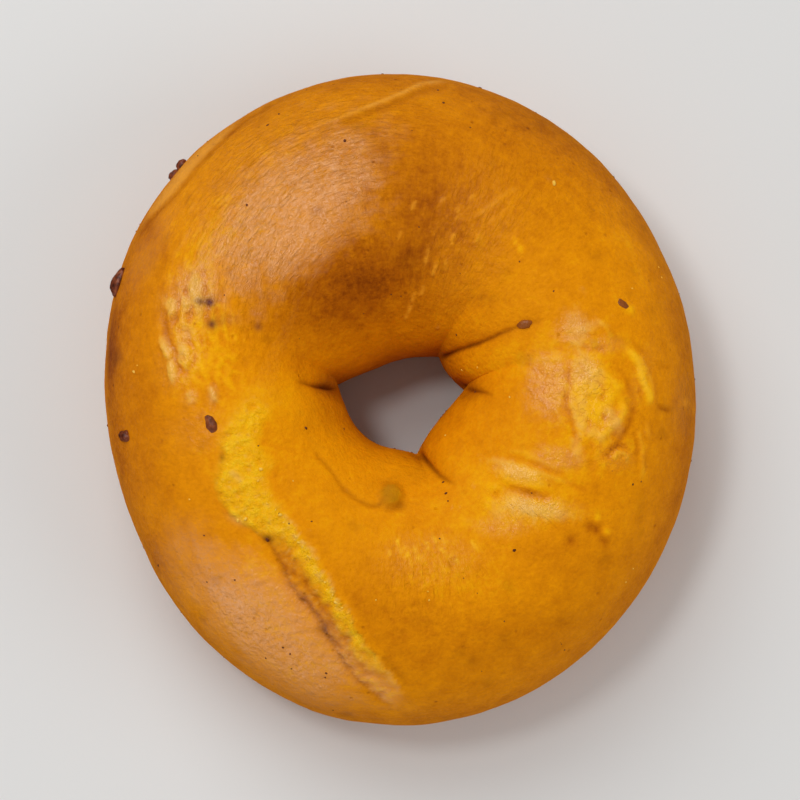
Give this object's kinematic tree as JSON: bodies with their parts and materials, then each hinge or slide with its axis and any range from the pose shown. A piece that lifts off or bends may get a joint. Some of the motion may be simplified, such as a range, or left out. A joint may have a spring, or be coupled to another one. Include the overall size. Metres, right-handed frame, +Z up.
{
  "type": "bagel",
  "caption": "Golden-yellow baked bagel with bits of dried fruit: an uneven ring with a small angular hole, folds running out of the hole and a torn seam across one side.",
  "frame": {"origin": "middle of the plan outline, on the flat underside that the bagel rests on", "axes": "+Z up through the hole, towards the browned top; +Y along the longer width, up in the picture; +X to the right in the picture"},
  "size_m": [0.1022, 0.1132, 0.0392],
  "materials": {
    "crust": "baked crust, satin sheen"
  },
  "bodies": {
    "root": {"bagel": "crust"}
  },
  "joints": []
}
